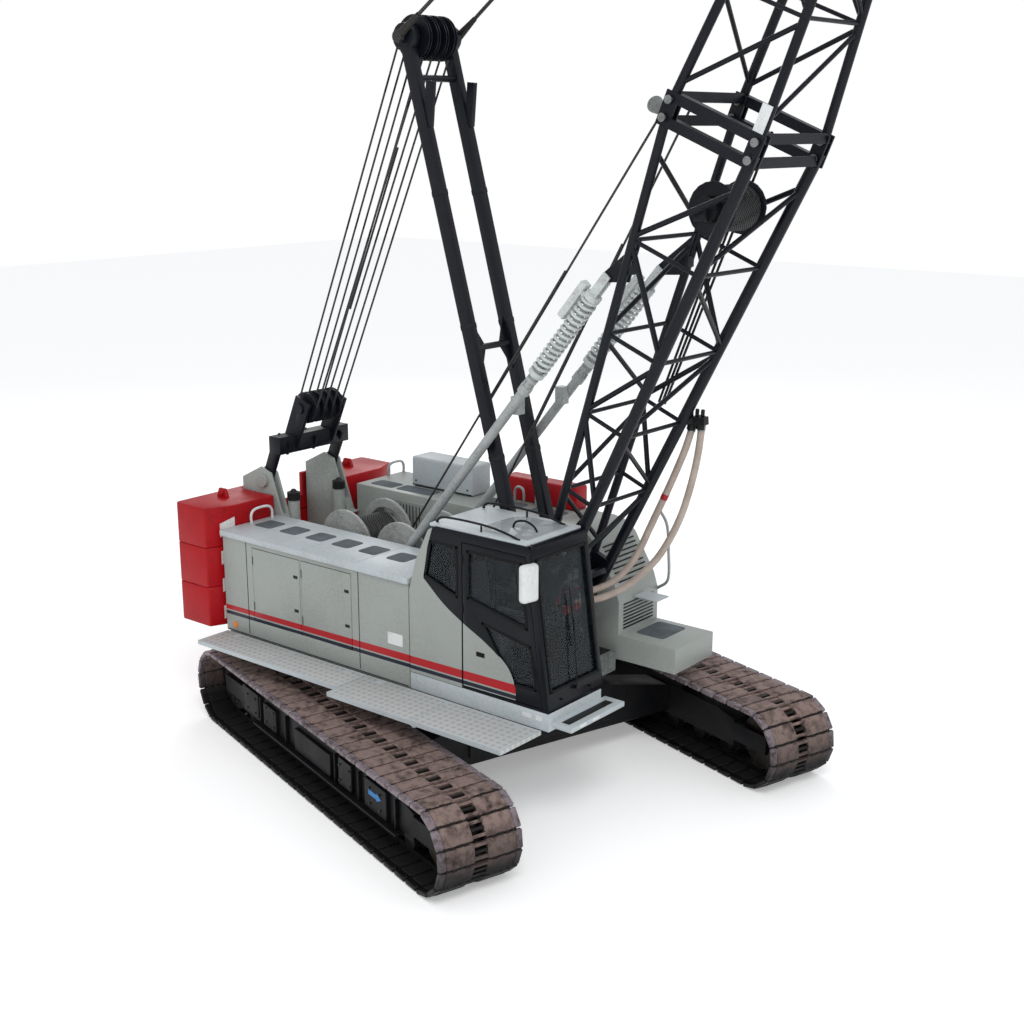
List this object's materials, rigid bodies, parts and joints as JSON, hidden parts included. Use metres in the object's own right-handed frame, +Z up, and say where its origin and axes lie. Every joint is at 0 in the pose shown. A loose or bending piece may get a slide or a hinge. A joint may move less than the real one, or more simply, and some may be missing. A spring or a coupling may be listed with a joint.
{
  "type": "crawler crane",
  "caption": "Lattice-boom crawler crane with boom mast and hoist ropes, side cab with opening door, open winch deck, stacked counterweights and folding walkways on steel tracks",
  "frame": {"origin": "on the ground, on the axis the upper works swing about", "axes": "+X is ahead under the boom with the upper works at rest, +Y is to the operator's left, +Z is up; the crawlers rest turned 17.1 degrees clockwise under the upper works"},
  "size_m": [9.7207, 6.7952, 13.2303],
  "materials": {
    "grey_enamel": "satin",
    "light_grey_enamel": "satin",
    "red_enamel": "satin",
    "black_enamel": "semi-gloss",
    "worn_track_steel": "worn",
    "bare_steel": "machined",
    "wire_rope": "oiled",
    "tinted_glass": "clear",
    "seat_fabric": "woven",
    "tan_sleeve": "woven",
    "engine_iron": "painted"
  },
  "bodies": {
    "undercarriage": {"carbody": "black_enamel", "slew_ring": "bare_steel", "track_frame_right": "black_enamel", "track_frame_left": "black_enamel", "track_right": "worn_track_steel", "track_left": "worn_track_steel", "idler_right": "black_enamel", "idler_left": "black_enamel", "sprocket_right": "black_enamel", "sprocket_left": "black_enamel"},
    "upper_works": {"revolving_frame": "grey_enamel", "gantry": "grey_enamel", "counterweight_lower": "red_enamel", "counterweight_middle": "red_enamel", "counterweight_top": "red_enamel", "house_right": "grey_enamel", "house_left": "grey_enamel", "engine": "engine_iron", "air_box": "grey_enamel", "red_tank": "red_enamel", "cowl_left": "grey_enamel", "cab_base": "grey_enamel", "cab_shell": "black_enamel", "windscreen": "tinted_glass", "roof_window": "tinted_glass", "quarter_window": "tinted_glass", "left_window": "tinted_glass", "operator_seat": "seat_fabric"},
    "boom": {"boom_base": "black_enamel", "boom_top": "black_enamel", "boom_winch": "black_enamel", "boom_hose_1": "tan_sleeve", "boom_hose_2": "tan_sleeve"},
    "boom_mast": {"mast": "black_enamel", "pendants": "wire_rope"},
    "hoist_bail": {"bail": "black_enamel"},
    "hoist_rope": {"boom_hoist_rope_upper": "wire_rope"},
    "hoist_rope_stage": {"boom_hoist_rope_middle": "wire_rope"},
    "backstop_tubes": {"backstop_tube_right": "light_grey_enamel", "backstop_tube_left": "light_grey_enamel"},
    "backstop_rods": {"backstop_rod_right": "light_grey_enamel", "backstop_rod_left": "light_grey_enamel"},
    "hook": {"hook_block": "black_enamel"},
    "rear_line_deck": {"line_rear_lower": "wire_rope"},
    "rear_line_boom": {"line_rear_upper": "wire_rope"},
    "front_line_deck": {"line_front_lower": "wire_rope"},
    "front_line_boom": {"line_front_upper": "wire_rope"},
    "drum_hoist": {"boom_hoist_drum": "grey_enamel"},
    "drum_rear": {"rear_drum": "grey_enamel"},
    "drum_front": {"front_drum": "grey_enamel"},
    "door_cab": {"cab_door": "black_enamel", "door_window_upper": "tinted_glass", "door_window_lower": "tinted_glass"},
    "door_side_rear": {"side_door_rear": "grey_enamel"},
    "door_side_front": {"side_door_front": "grey_enamel"},
    "door_engine_rear": {"engine_door_rear": "grey_enamel"},
    "door_engine_front": {"engine_door_front": "grey_enamel"},
    "walk_right_rear": {"walkway_right_rear": "grey_enamel"},
    "walk_right_front": {"walkway_right_front": "grey_enamel"},
    "walk_left": {"walkway_left": "grey_enamel"}
  },
  "joints": [
    {"name": "swing", "type": "hinge", "parent": "undercarriage", "child": "upper_works", "pos_m": [0, 0, 1.09], "axis": [0, 0, 1], "continuous": true},
    {"name": "boom_luff", "type": "hinge", "parent": "upper_works", "child": "boom", "pos_m": [0.819, 0, 1.646], "axis": [0, -1, 0], "range_deg": [-47.7, 14.3]},
    {"name": "mast_luff", "type": "hinge", "parent": "upper_works", "child": "boom_mast", "pos_m": [0.819, 0, 1.646], "axis": [0, -1, 0], "range_deg": [-47.7, 14.3]},
    {"name": "bail_tilt", "type": "hinge", "parent": "upper_works", "child": "hoist_bail", "pos_m": [-3.37, 0, 2.91], "axis": [0, -1, 0], "range_deg": [-36.2, 11]},
    {"name": "hoist_rope_tilt", "type": "hinge", "parent": "boom_mast", "child": "hoist_rope", "pos_m": [-0.99934, 0, 8.2295], "axis": [0, -1, 0], "range_deg": [-3.6, 11.8]},
    {"name": "hoist_rope_run", "type": "slide", "parent": "hoist_rope", "child": "hoist_rope_stage", "axis": [-0.4071, 0, -0.9134], "range_m": [-0.49, 1.62]},
    {"name": "backstop_tilt", "type": "hinge", "parent": "upper_works", "child": "backstop_tubes", "pos_m": [-1.5, 0, 1.8], "axis": [0, -1, 0], "range_deg": [-33.6, 10.2]},
    {"name": "backstop_run", "type": "slide", "parent": "backstop_tubes", "child": "backstop_rods", "axis": [0.6432, 0, 0.7657], "range_m": [-0.38, 1.26]},
    {"name": "rear_line_pay_out", "type": "hinge", "parent": "upper_works", "child": "rear_line_deck", "pos_m": [-1.2, 0, 2.23], "axis": [0, -1, 0], "range_deg": [-38.8, 11.7]},
    {"name": "rear_line_guide", "type": "hinge", "parent": "boom", "child": "rear_line_boom", "pos_m": [2.42959, 0, 7.47047], "axis": [0, -1, 0], "range_deg": [-2.8, 9.1]},
    {"name": "front_line_pay_out", "type": "hinge", "parent": "upper_works", "child": "front_line_deck", "pos_m": [-0.25, 0, 2.23], "axis": [0, -1, 0], "range_deg": [-44.3, 13.3]},
    {"name": "front_line_guide", "type": "hinge", "parent": "boom", "child": "front_line_boom", "pos_m": [2.42959, 0, 7.47047], "axis": [0, -1, 0], "range_deg": [-1.2, 3.6]},
    {"name": "hook_hang", "type": "hinge", "parent": "boom", "child": "hook", "pos_m": [5.4347, 0, 12.90025], "axis": [0, -1, 0], "range_deg": [-14.4, 47.8]},
    {"name": "drum_hoist_spin", "type": "hinge", "parent": "upper_works", "child": "drum_hoist", "pos_m": [-2.15, 0, 2.23], "axis": [0, 1, 0], "continuous": true},
    {"name": "drum_rear_spin", "type": "hinge", "parent": "upper_works", "child": "drum_rear", "pos_m": [-1.2, 0, 2.23], "axis": [0, 1, 0], "continuous": true},
    {"name": "drum_front_spin", "type": "hinge", "parent": "upper_works", "child": "drum_front", "pos_m": [-0.25, 0, 2.23], "axis": [0, 1, 0], "continuous": true},
    {"name": "cab_door_swing", "type": "hinge", "parent": "upper_works", "child": "door_cab", "pos_m": [1.87277, -1.53, 1.4], "axis": [-0.1423, 0, 0.9898], "range_deg": [0, 95]},
    {"name": "side_door_rear_swing", "type": "hinge", "parent": "upper_works", "child": "door_side_rear", "pos_m": [-1.771, -1.53, 1.9], "axis": [0, 0, 1], "range_deg": [0, 100]},
    {"name": "side_door_front_swing", "type": "hinge", "parent": "upper_works", "child": "door_side_front", "pos_m": [-0.916, -1.53, 1.9], "axis": [0, 0, 1], "range_deg": [0, 100]},
    {"name": "engine_door_rear_swing", "type": "hinge", "parent": "upper_works", "child": "door_engine_rear", "pos_m": [-1.566, 1.53, 1.9], "axis": [0, 0, -1], "range_deg": [0, 100]},
    {"name": "engine_door_front_swing", "type": "hinge", "parent": "upper_works", "child": "door_engine_front", "pos_m": [-0.356, 1.53, 1.9], "axis": [0, 0, -1], "range_deg": [0, 100]},
    {"name": "walk_right_rear_fold", "type": "hinge", "parent": "upper_works", "child": "walk_right_rear", "pos_m": [0, -1.542, 1.2], "axis": [1, 0, 0], "range_deg": [-90, 0]},
    {"name": "walk_right_front_fold", "type": "hinge", "parent": "upper_works", "child": "walk_right_front", "pos_m": [0, -1.542, 1.2], "axis": [1, 0, 0], "range_deg": [-90, 0]},
    {"name": "walk_left_fold", "type": "hinge", "parent": "upper_works", "child": "walk_left", "pos_m": [0, 1.542, 1.2], "axis": [-1, 0, 0], "range_deg": [-90, 0]}
  ],
  "couplings": [
    {"joint": "mast_luff", "follows": "boom_luff", "ratio": 1},
    {"joint": "bail_tilt", "follows": "boom_luff", "ratio": 0.756},
    {"joint": "hoist_rope_tilt", "follows": "boom_luff", "ratio": -0.244},
    {"joint": "hoist_rope_run", "follows": "boom_luff", "m_per_rad": -1.932},
    {"joint": "backstop_tilt", "follows": "boom_luff", "ratio": 0.7},
    {"joint": "backstop_run", "follows": "boom_luff", "m_per_rad": -1.5},
    {"joint": "rear_line_pay_out", "follows": "boom_luff", "ratio": 0.812},
    {"joint": "rear_line_guide", "follows": "boom_luff", "ratio": -0.188},
    {"joint": "front_line_pay_out", "follows": "boom_luff", "ratio": 0.926},
    {"joint": "front_line_guide", "follows": "boom_luff", "ratio": -0.074},
    {"joint": "hook_hang", "follows": "boom_luff", "ratio": -1}
  ]
}
